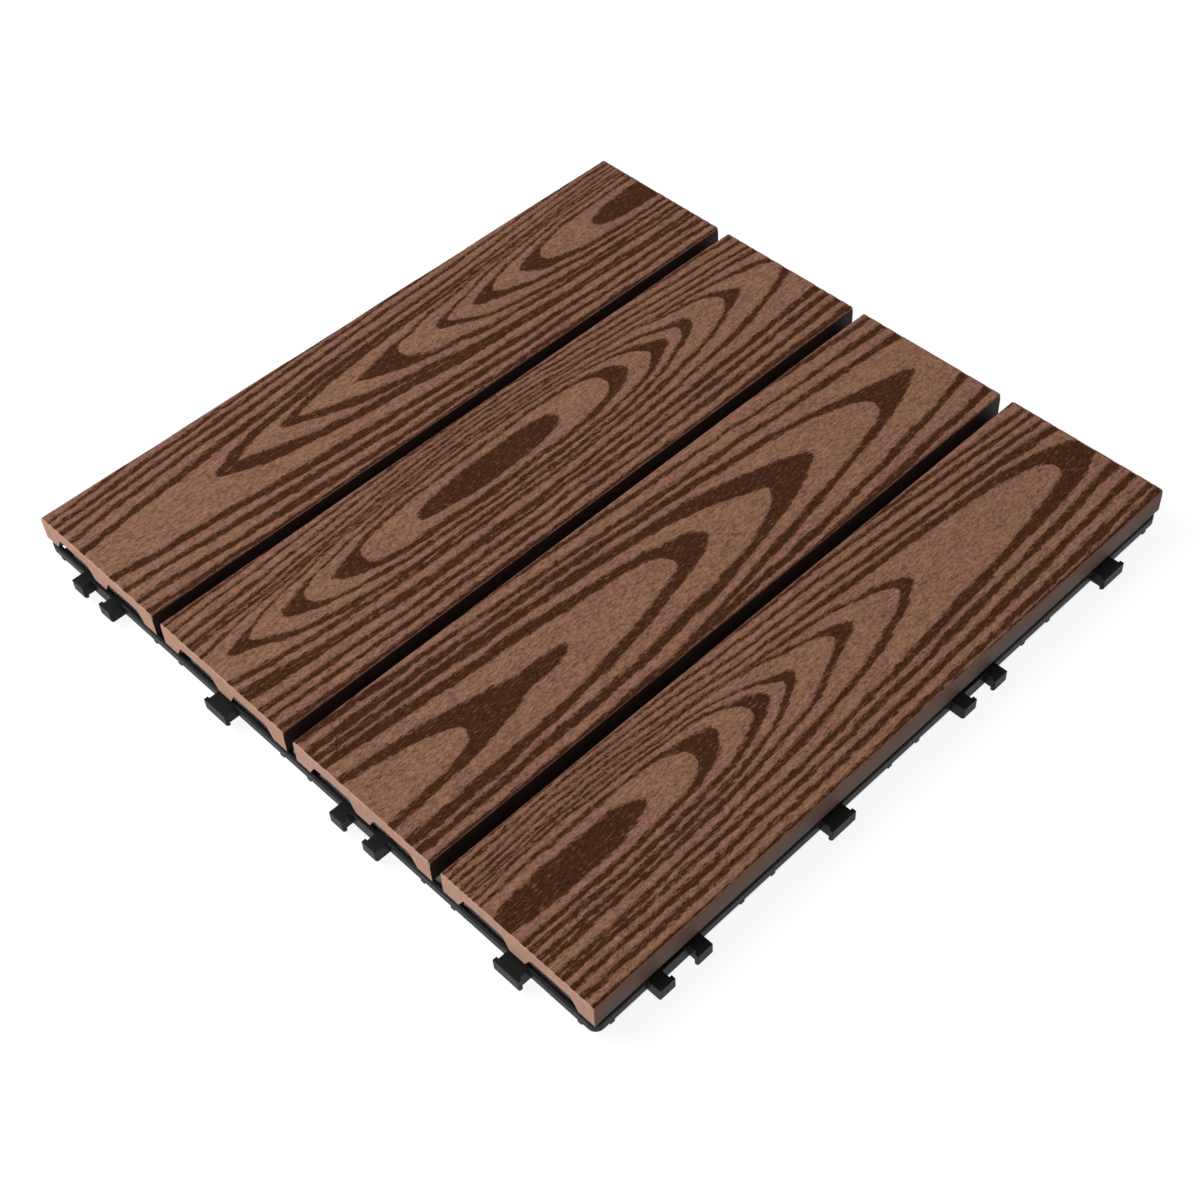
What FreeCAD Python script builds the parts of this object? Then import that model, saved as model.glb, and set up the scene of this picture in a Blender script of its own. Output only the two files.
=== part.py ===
import FreeCAD, Part
import os
import Sketcher
from FreeCAD import Vector

# Interlocking deck tile: four moulded slats screwed to a black lattice base.
# Frame: +Z up, slats run along Y, the origin is at floor level under the middle of the tile.

doc = FreeCAD.newDocument("deck_tile")

# Driving dimensions in millimetres, and one count, each written once.
DIMENSIONS = [
    ("tile_side", 300.0, "side of the square that the slats cover"),
    ("slat_count", 4, "slats side by side"),
    ("slat_gap", 5.5, "drainage gap between two slats"),
    ("slat_thick", 11.0, "slat, from its feet to its top"),
    ("plate_thick", 5.6, "plate over the two channels of a slat"),
    ("outer_foot", 7.4, "width of a slat's left and right foot"),
    ("middle_foot", 7.0, "width of a slat's middle foot"),
    ("channel_slope", 3.1, "sideways run of a channel's slanted side"),
    ("top_round", 2.0, "rounding of a slat's two long top edges"),
    ("channel_round", 1.3, "rounding in the upper corners of a channel"),
    ("base_height", 11.0, "base, from the floor to the ribs' tops"),
    ("rim_bottom", 4.4, "height of the rim's lower edge over the floor"),
    ("rim_top", 9.0, "height of the rim's upper edge over the floor"),
    ("rim_wall", 2.0, "thickness of the rim"),
    ("corner_round", 3.5, "rounding of the rim's four corners"),
    ("rim_bevel", 0.5, "bevel on the rim's upper and lower outer edges"),
    ("rib_thick", 2.0, "thickness of the lattice ribs"),
    ("rib_bottom", 3.5, "height of the ribs' lower edge over the floor"),
    ("rib_shoulder", 7.5, "height of the ribs where they meet the rim"),
    ("rib_setback", 4.0, "distance from the rim's face to the ribs' full height"),
    ("rib_spread", 30.0, "distance from the middle of a module to its outer ribs"),
    ("foot_size", 7.0, "side of the square feet"),
    ("boss_wall", 1.2, "wall of a screw boss around its recess"),
    ("hole_gap", 0.4, "hole through a boss, wider than the shank by this"),
    ("recess_gap", 1.6, "recess in a boss, wider than the screw head by this"),
    ("head_seat", 7.0, "height of the seat under a screw head over the floor"),
    ("reach", 5.5, "how far the connectors stand out of the rim"),
    ("connector_bottom", 3.0, "height of the connectors' lower side over the floor"),
    ("head_depth", 1.8, "depth of a connector's head, along its reach"),
    ("tongue_width", 10.0, "width of the single connector's stem"),
    ("hook", 1.0, "how far a connector's head stands out sideways"),
    ("fit_gap", 0.2, "clearance between a tongue and its socket"),
    ("prong_width", 5.8, "width of each prong of a socket"),
    ("socket_wall", 0.6, "how far the wall between two prongs stands out"),
    ("nose_bevel", 0.9, "bevel under the nose of a connector"),
    ("shank_size", 3.4, "diameter of a screw's shank"),
    ("pilot_gap", 0.1, "pilot hole, wider than the shank by this"),
    ("screw_reach", 12.0, "screw, from under its head to its tip"),
    ("pilot_spare", 0.6, "pilot hole, deeper than the tip by this"),
    ("head_size", 6.4, "hexagonal screw head, across its flats"),
    ("head_high", 2.2, "height of a screw head"),
    ("screw_count", 2, "screws along one slat"),
]

sizes = doc.addObject("Spreadsheet::Sheet", "sizes")
for row, (alias, number, note) in enumerate(DIMENSIONS, start=1):
    sizes.set("A%d" % row, note)
    sizes.set("B%d" % row, str(number))
    sizes.setAlias("B%d" % row, alias)
doc.recompute()

# Sizes that follow from the driving ones, as expressions.
HALF = "(sizes.tile_side / 2)"
SLAT_WIDTH = "((sizes.tile_side - (sizes.slat_count - 1) * sizes.slat_gap) / sizes.slat_count)"
SLAT_PITCH = "((sizes.tile_side + sizes.slat_gap) / sizes.slat_count)"
FIRST_SLAT = "(-(sizes.slat_count - 1) / 2 * %s)" % SLAT_PITCH
CHANNEL = "(sizes.slat_thick - sizes.plate_thick)"
MODULE = "(sizes.tile_side / sizes.slat_count)"
FIRST_MODULE = "(-(sizes.slat_count - 1) / 2 * %s)" % MODULE
HEAD_HALF = "(sizes.tongue_width / 2 + sizes.hook)"
SOCKET_HALF = "(%s + sizes.fit_gap)" % HEAD_HALF
SPAN = "((sizes.slat_count - 1) * %s)" % MODULE
SLAT_SPAN = "((sizes.slat_count - 1) * %s)" % SLAT_PITCH
SCREW_ROWS = [("X_Axis", SLAT_SPAN, "sizes.slat_count"), ("Y_Axis", SPAN, "sizes.screw_count")]
FIRST_RIB = "(%s - sizes.rib_spread)" % FIRST_MODULE
RIB_SPAN = "(2 * sizes.rib_spread)"
HEAD_RECESS = "(sizes.head_size + sizes.recess_gap)"
BOSS_SIZE = "(%s + 2 * sizes.boss_wall)" % HEAD_RECESS
SCREW_HOLE = "(sizes.shank_size + sizes.hole_gap)"
PILOT_DEPTH = "(sizes.head_seat + sizes.screw_reach + sizes.pilot_spare - sizes.base_height)"

FULL_TURN = 360
HEXAGON_STRETCH = "(2 / sqrt(3))"
SIDES = 4
SAME_PLACE = 0.001


def worked_out(expression):
    """The number that an expression on the sheet gives."""
    return float(sizes.evalExpression(expression))


def sketch_on(body, role, name, offset=None):
    """A sketch on one of the body's own origin planes, lifted along its normal by offset."""
    sketch = body.newObject("Sketcher::SketchObject", name)
    plane = next(item for item in body.Origin.OriginFeatures if item.Role == role)
    sketch.AttachmentSupport = (plane, [""])
    sketch.MapMode = "FlatFace"
    if offset:
        sketch.setExpression("AttachmentOffset.Base.z", offset)
    return sketch


def pin_point(sketch, geometry, place, across, up):
    """Ties one point of a sketch to two expressions, measured from its origin."""
    for kind, expression in (("DistanceX", across), ("DistanceY", up)):
        value = worked_out(expression)
        index = sketch.addConstraint(Sketcher.Constraint(kind, -1, 1, geometry, place, value))
        sketch.setExpression("Constraints[%d]" % index, expression)


def add_outline(sketch, corners):
    """A closed outline of straight lines whose corners are pairs of expressions."""
    points = [Vector(worked_out(across), worked_out(up), 0) for across, up in corners]
    first = sketch.GeometryCount
    for start, end in zip(points, points[1:] + points[:1]):
        sketch.addGeometry(Part.LineSegment(start, end), False)
    last = sketch.GeometryCount - 1
    for line in range(first, last + 1):
        following = first if line == last else line + 1
        sketch.addConstraint(Sketcher.Constraint("Coincident", line, 2, following, 1))
    for line, (across, up) in enumerate(corners, start=first):
        pin_point(sketch, line, 1, across, up)


def add_block(sketch, left, right, low, high):
    """A rectangle between four expressions."""
    add_outline(sketch, [(left, low), (right, low), (right, high), (left, high)])


def add_circle(sketch, across, up, diameter):
    """A circle with its centre and diameter given by expressions."""
    centre = Vector(worked_out(across), worked_out(up), 0)
    circle = sketch.addGeometry(Part.Circle(centre, Vector(0, 0, 1), worked_out(diameter) / 2), False)
    pin_point(sketch, circle, 3, across, up)
    index = sketch.addConstraint(Sketcher.Constraint("Diameter", circle, worked_out(diameter)))
    sketch.setExpression("Constraints[%d]" % index, diameter)


def pad(body, sketch, name, length, middle=False):
    """A pad of the sketch, to both sides where middle is set."""
    feature = body.newObject("PartDesign::Pad", name)
    feature.Profile = sketch
    feature.setExpression("Length", length)
    if middle:
        feature.SideType = "Symmetric"
    body.Tip = feature
    doc.recompute()
    return feature


def pocket(body, sketch, name, length):
    """A pocket cut upward from the sketch, which has to remove material."""
    before = body.Shape.Volume
    feature = body.newObject("PartDesign::Pocket", name)
    feature.Profile = sketch
    feature.Reversed = True
    feature.setExpression("Length", length)
    body.Tip = feature
    doc.recompute()
    if body.Shape.Volume >= before:
        raise RuntimeError("pocket %s removes nothing" % name)
    return feature


def axis_of(body, role):
    """One of the body's own origin axes, as a pattern's direction."""
    return (next(item for item in body.Origin.OriginFeatures if item.Role == role), [""])


def row_of(body, axis, name, span, count):
    """One direction of a pattern: count copies evenly over a span that starts at the original."""
    row = body.newObject("PartDesign::LinearPattern", name)
    row.Direction = axis_of(body, axis)
    row.Mode = "Extent"
    row.setExpression("Length", span)
    row.setExpression("Occurrences", count)
    return row


def repeat(body, name, rows, around=False):
    """Copies of the body's whole shape: by each row in turn, then to all four sides if around.

    A row is an axis, the span from the first copy to the last, and the number of copies.
    """
    body.AllowCompound = True
    pattern = body.newObject("PartDesign::MultiTransform", name)
    pattern.TransformMode = "Whole shape"
    made = [row_of(body, axis, "%s_row_%d" % (name, number), span, count)
            for number, (axis, span, count) in enumerate(rows, start=1)]
    if around:
        turned = body.newObject("PartDesign::PolarPattern", "%s_turned" % name)
        turned.Axis = axis_of(body, "Z_Axis")
        turned.Angle = FULL_TURN
        turned.Occurrences = SIDES
        made.append(turned)
    pattern.Transformations = made
    body.Tip = pattern
    doc.recompute()
    return pattern


def same(value, target):
    return abs(value - target) < SAME_PLACE


def dress(body, kind, feature, name, wanted, size):
    """A fillet or chamfer on the edges whose bounding boxes pass a test."""
    names = ["Edge%d" % number for number, edge in enumerate(feature.Shape.Edges, start=1)
             if wanted(edge.BoundBox)]
    if not names:
        raise RuntimeError("%s finds no edges" % name)
    dressed = body.newObject("PartDesign::" + kind, name)
    dressed.Base = (feature, names)
    dressed.setExpression("Radius" if kind == "Fillet" else "Size", size)
    body.Tip = dressed
    doc.recompute()
    return dressed


def make_rim():
    """The low wall around the base, round at its corners and bevelled outside."""
    body = doc.addObject("PartDesign::Body", "rim")
    sketch = sketch_on(body, "XY_Plane", "rim_outline", "sizes.rim_bottom")
    inside = "(%s - sizes.rim_wall)" % HALF
    for edge in (HALF, inside):
        add_block(sketch, "-%s" % edge, edge, "-%s" % edge, edge)
    wall = pad(body, sketch, "rim_pad", "sizes.rim_top - sizes.rim_bottom")
    side = worked_out(HALF)

    def is_outer(box):
        return same(max(box.XMax, -box.XMin, box.YMax, -box.YMin), side)

    rounded = dress(body, "Fillet", wall, "rim_corners",
                    lambda box: not same(box.ZLength, 0) and is_outer(box), "sizes.corner_round")
    dress(body, "Chamfer", rounded, "rim_bevels",
          lambda box: same(box.ZLength, 0) and is_outer(box), "sizes.rim_bevel")
    return body


def make_ribs(way):
    """All the ribs of one way, stepped down where they meet the rim.

    Every module has three ribs across the slats and two along them.
    """
    body = doc.addObject("PartDesign::Body", "ribs_along_%s" % way)
    across, plane, count = ("X_Axis", "YZ_Plane", "2")
    if way == "x":
        across, plane, count = ("Y_Axis", "XZ_Plane", "3")
    sketch = sketch_on(body, plane, "rib_%s_profile" % way)
    shoulder = "(%s - sizes.rib_setback)" % HALF
    add_outline(sketch, [
        ("-%s" % HALF, "sizes.rib_bottom"), (HALF, "sizes.rib_bottom"),
        (HALF, "sizes.rib_shoulder"), (shoulder, "sizes.rib_shoulder"),
        (shoulder, "sizes.base_height"), ("-%s" % shoulder, "sizes.base_height"),
        ("-%s" % shoulder, "sizes.rib_shoulder"), ("-%s" % HALF, "sizes.rib_shoulder")])
    pad(body, sketch, "rib_%s_pad" % way, "sizes.rib_thick", middle=True)
    repeat(body, "rib_%s_rows" % way, [(across, RIB_SPAN, count), (across, SPAN, "sizes.slat_count")])
    body.setExpression("Placement.Base.%s" % across[0].lower(), FIRST_RIB)
    return body


def add_square(sketch, across, up, side):
    """A square with its middle and side given by expressions."""
    half = "%s / 2" % side
    add_block(sketch, "%s - %s" % (across, half), "%s + %s" % (across, half),
              "%s - %s" % (up, half), "%s + %s" % (up, half))


def make_feet():
    """Square feet where the middle rib of every module crosses the two ribs along the slats."""
    body = doc.addObject("PartDesign::Body", "feet")
    sketch = sketch_on(body, "XY_Plane", "foot_outline")
    add_square(sketch, FIRST_RIB, FIRST_MODULE, "sizes.foot_size")
    pad(body, sketch, "foot_pad", "sizes.rib_bottom")
    repeat(body, "feet_rows", [("X_Axis", RIB_SPAN, "2"), ("X_Axis", SPAN, "sizes.slat_count"),
                               ("Y_Axis", SPAN, "sizes.slat_count")])
    return body


def make_screw_places(name, bands):
    """Stacked blocks at every screw place; a band has an outline, two heights and a size."""
    body = doc.addObject("PartDesign::Body", name)
    for number, (outline, low, high, size) in enumerate(bands, start=1):
        sketch = sketch_on(body, "XY_Plane", "%s_outline_%d" % (name, number), low)
        outline(sketch, FIRST_SLAT, FIRST_MODULE, size)
        pad(body, sketch, "%s_pad_%d" % (name, number), "%s - %s" % (high, low))
    repeat(body, "%s_rows" % name, SCREW_ROWS)
    return body


def make_connectors():
    """Tongues and sockets by turns along each side, one under each slat's width.

    A tongue has a head wider than its stem. It drops into the socket of the next tile,
    between two prongs that hook behind the head.
    """
    body = doc.addObject("PartDesign::Body", "connectors")
    root = "(-%s + sizes.rim_wall / 2)" % HALF
    nose = "(-%s - sizes.reach)" % HALF
    neck = "(%s + sizes.head_depth)" % nose
    wall = "(-%s - sizes.socket_wall)" % HALF

    sketch = sketch_on(body, "XY_Plane", "connector_outlines", "sizes.connector_bottom")
    centre = "(%s + %s)" % (FIRST_SLAT, SLAT_PITCH)
    stem = "sizes.tongue_width / 2"
    add_outline(sketch, [
        ("%s - %s" % (centre, stem), root), ("%s - %s" % (centre, stem), neck),
        ("%s - %s" % (centre, HEAD_HALF), neck), ("%s - %s" % (centre, HEAD_HALF), nose),
        ("%s + %s" % (centre, HEAD_HALF), nose), ("%s + %s" % (centre, HEAD_HALF), neck),
        ("%s + %s" % (centre, stem), neck), ("%s + %s" % (centre, stem), root)])

    outer = "(%s + sizes.prong_width)" % SOCKET_HALF
    mouth = "(%s - sizes.hook)" % SOCKET_HALF
    half_outline = [(outer, root), (outer, nose), (mouth, nose), (mouth, neck),
                    (SOCKET_HALF, neck), (SOCKET_HALF, wall)]
    left = [("%s - %s" % (FIRST_SLAT, across), up) for across, up in half_outline]
    right = [("%s + %s" % (FIRST_SLAT, across), up) for across, up in reversed(half_outline)]
    add_outline(sketch, left + right)
    shapes = pad(body, sketch, "connector_pad", "sizes.rim_top - sizes.connector_bottom")
    far = worked_out(HALF) + worked_out("sizes.reach")
    low = worked_out("sizes.connector_bottom")
    dress(body, "Chamfer", shapes, "connector_noses",
          lambda box: same(box.YMax, -far) and same(box.ZMax, low), "sizes.nose_bevel")
    span = "(sizes.slat_count - 2) * %s" % SLAT_PITCH
    repeat(body, "connector_rows", [("X_Axis", span, "sizes.slat_count / 2")], around=True)
    return body


def make_base():
    """The base, one moulding: rim, lattice, feet, bosses and connectors."""
    bosses = make_screw_places("bosses", [
        (add_square, "sizes.rib_bottom", "sizes.base_height", BOSS_SIZE)])
    holes = make_screw_places("holes", [
        (add_square, "sizes.rib_bottom", "sizes.head_seat", HEAD_RECESS),
        (add_circle, "sizes.head_seat", "sizes.base_height", SCREW_HOLE)])
    moulding = doc.addObject("Part::MultiFuse", "moulding")
    moulding.Shapes = [make_rim(), make_ribs("y"), make_ribs("x"), make_feet(), bosses,
                       make_connectors()]
    doc.recompute()
    base = doc.addObject("Part::Cut", "base")
    base.Base = moulding
    base.Tool = holes
    base.Refine = True
    doc.recompute()
    if base.Shape.Volume >= moulding.Shape.Volume:
        raise RuntimeError("the screw holes remove nothing")
    return base


def make_slat(number):
    """One extruded slat: a plate on three feet with two open channels between them."""
    body = doc.addObject("PartDesign::Body", "slat_%d" % number)
    sketch = sketch_on(body, "XZ_Plane", "slat_%d_section" % number)
    half = "(%s / 2)" % SLAT_WIDTH
    inner = "(sizes.middle_foot / 2)"
    right = [(inner, "0"),
             ("%s + sizes.channel_slope" % inner, CHANNEL),
             ("%s - sizes.outer_foot - sizes.channel_slope" % half, CHANNEL),
             ("%s - sizes.outer_foot" % half, "0"), (half, "0"), (half, "sizes.slat_thick")]
    left = [("-(%s)" % across, up) for across, up in reversed(right)]
    add_outline(sketch, right + left)
    plank = pad(body, sketch, "slat_%d_length" % number, "sizes.tile_side", middle=True)

    length = worked_out("sizes.tile_side")

    def runs_along(box, height):
        return same(box.YLength, length) and same(box.ZMin, height) and same(box.ZMax, height)

    topped = dress(body, "Fillet", plank, "slat_%d_top_edges" % number,
                   lambda box: runs_along(box, worked_out("sizes.slat_thick")), "sizes.top_round")
    dress(body, "Fillet", topped, "slat_%d_channel_corners" % number,
          lambda box: runs_along(box, worked_out(CHANNEL)), "sizes.channel_round")

    sketch = sketch_on(body, "XY_Plane", "slat_%d_pilot" % number)
    add_circle(sketch, "0", FIRST_MODULE, "sizes.shank_size + sizes.pilot_gap")
    pilot = pocket(body, sketch, "slat_%d_pilot_hole" % number, PILOT_DEPTH)
    row = row_of(body, "Y_Axis", "slat_%d_pilot_row" % number, SPAN, "sizes.screw_count")
    row.Originals = [pilot]
    body.Tip = row

    body.setExpression("Placement.Base.x", "%s + %d * %s" % (FIRST_SLAT, number - 1, SLAT_PITCH))
    body.setExpression("Placement.Base.z", "sizes.base_height")
    doc.recompute()
    return body


def make_screws():
    """All the screws as one group of like solids, driven up into the slats' middle feet."""
    body = doc.addObject("PartDesign::Body", "screws")
    sketch = sketch_on(body, "XY_Plane", "shank_circle", "sizes.head_seat")
    add_circle(sketch, "0", "0", "sizes.shank_size")
    pad(body, sketch, "shank_pad", "sizes.screw_reach")

    sketch = sketch_on(body, "XY_Plane", "head_hexagon", "sizes.head_seat - sizes.head_high")
    flat = "sizes.head_size / 2"
    corner = "(%s * %s)" % (flat, HEXAGON_STRETCH)
    add_outline(sketch, [
        (corner, "0"), ("%s / 2" % corner, flat), ("-%s / 2" % corner, flat), ("-%s" % corner, "0"),
        ("-%s / 2" % corner, "-%s" % flat), ("%s / 2" % corner, "-%s" % flat)])
    pad(body, sketch, "head_pad", "sizes.head_high")

    repeat(body, "screw_rows", SCREW_ROWS)
    body.setExpression("Placement.Base.x", FIRST_SLAT)
    body.setExpression("Placement.Base.y", FIRST_MODULE)
    doc.recompute()
    return body


parts = [make_base()]
for number in range(1, int(worked_out("sizes.slat_count")) + 1):
    parts.append(make_slat(number))
parts.append(make_screws())
doc.recompute()

for item in doc.Objects:
    if "Invalid" in item.State or "Error" in item.State:
        raise RuntimeError("%s failed: %s" % (item.Label, item.State))

os.makedirs("parts", exist_ok=True)
for body in parts:
    if body.Shape.isNull() or not body.Shape.isValid():
        raise RuntimeError("%s has no valid shape" % body.Label)
    body.Shape.exportStep("parts/%s.step" % body.Label)
    box = body.Shape.BoundBox
    print("%-8s %2d solids %10.1f mm3  x %.2f..%.2f  y %.2f..%.2f  z %.2f..%.2f" % (
        body.Label, len(body.Shape.Solids), body.Shape.Volume,
        box.XMin, box.XMax, box.YMin, box.YMax, box.ZMin, box.ZMax))
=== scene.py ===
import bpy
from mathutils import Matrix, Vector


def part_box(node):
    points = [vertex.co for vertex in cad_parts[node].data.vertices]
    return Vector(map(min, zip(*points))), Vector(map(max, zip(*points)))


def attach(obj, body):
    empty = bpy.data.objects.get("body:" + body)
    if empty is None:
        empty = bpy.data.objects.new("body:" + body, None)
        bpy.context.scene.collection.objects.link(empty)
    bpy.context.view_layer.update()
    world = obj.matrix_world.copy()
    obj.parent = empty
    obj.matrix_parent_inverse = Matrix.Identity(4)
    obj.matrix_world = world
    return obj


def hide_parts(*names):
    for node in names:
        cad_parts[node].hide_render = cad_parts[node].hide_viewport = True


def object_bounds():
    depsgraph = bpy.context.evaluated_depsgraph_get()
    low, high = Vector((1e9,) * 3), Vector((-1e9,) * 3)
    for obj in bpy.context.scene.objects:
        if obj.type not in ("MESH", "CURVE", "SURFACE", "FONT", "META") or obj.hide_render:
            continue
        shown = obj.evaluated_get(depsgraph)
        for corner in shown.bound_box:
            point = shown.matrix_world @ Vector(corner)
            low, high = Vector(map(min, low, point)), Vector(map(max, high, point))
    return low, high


bl_info = {
    "name": "Interlocking deck tile",
    "version": (1, 0, 0),
    "blender": (4, 5, 0),
    "location": "3D View > Sidebar > Deck tile",
    "description": "Dresses the deck tile: embossed slats, plastic base, screws and a plain stage",
    "category": "Object",
}

import math
from dataclasses import dataclass

import bmesh
import bpy
import numpy as np
from mathutils import Vector

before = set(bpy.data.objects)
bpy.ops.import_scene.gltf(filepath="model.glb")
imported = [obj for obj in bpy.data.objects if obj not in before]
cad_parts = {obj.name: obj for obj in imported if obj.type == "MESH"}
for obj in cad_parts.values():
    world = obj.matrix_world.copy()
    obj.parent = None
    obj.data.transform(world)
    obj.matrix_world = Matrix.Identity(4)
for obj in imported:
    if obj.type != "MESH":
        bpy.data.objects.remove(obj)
CAD_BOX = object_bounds()
MM = 0.001
BODY = "root"
SLATS = sorted(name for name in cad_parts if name.startswith("slat_"))
GRAIN = "grain"
JOIN_DISTANCE = 0.001 * MM
FLAT_ANGLE = math.radians(1)


def paint(red, green, blue):
    """A colour as a maker reads it off a chart, 0 to 255, in the scene's linear values."""
    def linear(value):
        share = value / 255
        return share / 12.92 if share <= 0.04045 else ((share + 0.055) / 1.055) ** 2.4
    return (linear(red), linear(green), linear(blue))


def colour_setting(name, description, colour):
    return bpy.props.FloatVectorProperty(
        name=name, description=description, default=colour, size=3, min=0, max=1, subtype="COLOR")


def length_setting(name, description, metres):
    return bpy.props.FloatProperty(
        name=name, description=description, default=metres, min=0, precision=5, unit="LENGTH")


class SlatSettings(bpy.types.PropertyGroup):
    """Sizes and colours of the four slats."""
    emboss_depth: length_setting("Emboss depth", "How deep the dark grain is pressed in", 0.32 * MM)
    edge_rounding: length_setting("Edge rounding", "Radius of the two long top edges", 1.0 * MM)
    crown_depth: length_setting("Crown depth", "How far the fine mesh reaches down the sides",
                                2.8 * MM)
    end_break: length_setting("End break", "Small bevel where the saw cut meets the top", 0.25 * MM)
    raised: colour_setting("Raised grain", "Colour of the raised parts of the top",
                           paint(134, 94, 77))
    raised_warm: colour_setting("Raised grain, warm", "Second colour of the raised parts",
                                paint(130, 94, 73))
    recessed: colour_setting("Recessed grain", "Colour of the pressed lines", paint(62, 33, 17))
    cut: colour_setting("Cut end", "Colour of the sawn ends", paint(184, 144, 124))
    skin: colour_setting("Side skin", "Colour of the smooth sides and underside",
                         paint(98, 74, 63))
    # Painted shade: this darker colour on the sides inside the gaps stands in for the shade between
    # the slats.
    painted_gap_shade: colour_setting("Shaded skin", "Colour of the sides inside the gaps",
                                paint(46, 32, 26))


class BaseSettings(bpy.types.PropertyGroup):
    """Finish of the moulded base."""
    edge_rounding: length_setting("Edge rounding", "Bevel on the moulding's edges", 0.25 * MM)
    plastic: colour_setting("Plastic", "Colour of the base", paint(14, 14, 14))


class ScrewSettings(bpy.types.PropertyGroup):
    """Sizes and finish of the screws."""
    head_height: length_setting("Head height", "Height of the hexagonal head", 2.2 * MM)
    across_flats: length_setting("Across flats", "Width of the head over two flats", 6.4 * MM)
    head_break: length_setting("Head bevel", "Bevel round the head's outer edge", 0.4 * MM)
    shank: length_setting("Shank", "Diameter of the shank", 3.4 * MM)
    point: length_setting("Point", "Length of the pointed end", 2.5 * MM)
    cross_width: length_setting("Cross width", "Width over the cross recess", 3.8 * MM)
    cross_arm: length_setting("Cross arm", "Width of one arm of the cross recess", 0.9 * MM)
    cross_depth: length_setting("Cross depth", "Depth of the cross recess", 1.2 * MM)
    steel: colour_setting("Steel", "Colour of the plated screws", paint(190, 190, 192))


class StageSettings(bpy.types.PropertyGroup):
    """Floor, lamp, sky and camera."""
    floor: colour_setting("Floor", "Colour of the floor", paint(240, 240, 240))
    key_power: bpy.props.FloatProperty(
        name="Key lamp power", description="Power of the large lamp over the left corner",
        default=44.0, min=0, unit="POWER")
    key_size: length_setting("Key lamp size", "Side of the large square lamp", 1.3)
    key_place: bpy.props.FloatVectorProperty(
        name="Key lamp place", description="Where the large lamp hangs; it points at the tile",
        size=3, subtype="TRANSLATION", default=(-1.05, -1.0, 1.75))
    sky: bpy.props.FloatProperty(
        name="Sky", description="Strength of the even light from all round", default=0.36, min=0)
    lens: bpy.props.FloatProperty(
        name="Lens", description="Focal length in millimetres", default=58.948, min=1,
        unit="CAMERA")
    place: bpy.props.FloatVectorProperty(
        name="Camera place", description="Where the camera stands", size=3, subtype="TRANSLATION",
        default=(0.38021, -0.33897, 0.56135))
    turn: bpy.props.FloatVectorProperty(
        name="Camera turn", description="How the camera is turned", size=3, subtype="EULER",
        default=(math.radians(41.7109), math.radians(1.6686), math.radians(44.6160)))
    shift: bpy.props.FloatVectorProperty(
        name="Frame shift", description="How far the picture is shifted across and up", size=2,
        default=(-0.036485, -0.035937))


# Shader recipes

class Wire:
    """One socket of a recipe. A sum that is written on it becomes a Math node."""

    def __init__(self, recipe, socket):
        self.recipe = recipe
        self.socket = socket

    def __add__(self, other):
        return self.recipe.math("ADD", self, other)

    def __radd__(self, other):
        return self.recipe.math("ADD", other, self)

    def __sub__(self, other):
        return self.recipe.math("SUBTRACT", self, other)

    def __rsub__(self, other):
        return self.recipe.math("SUBTRACT", other, self)

    def __mul__(self, other):
        return self.recipe.math("MULTIPLY", self, other)

    def __rmul__(self, other):
        return self.recipe.math("MULTIPLY", other, self)


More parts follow.
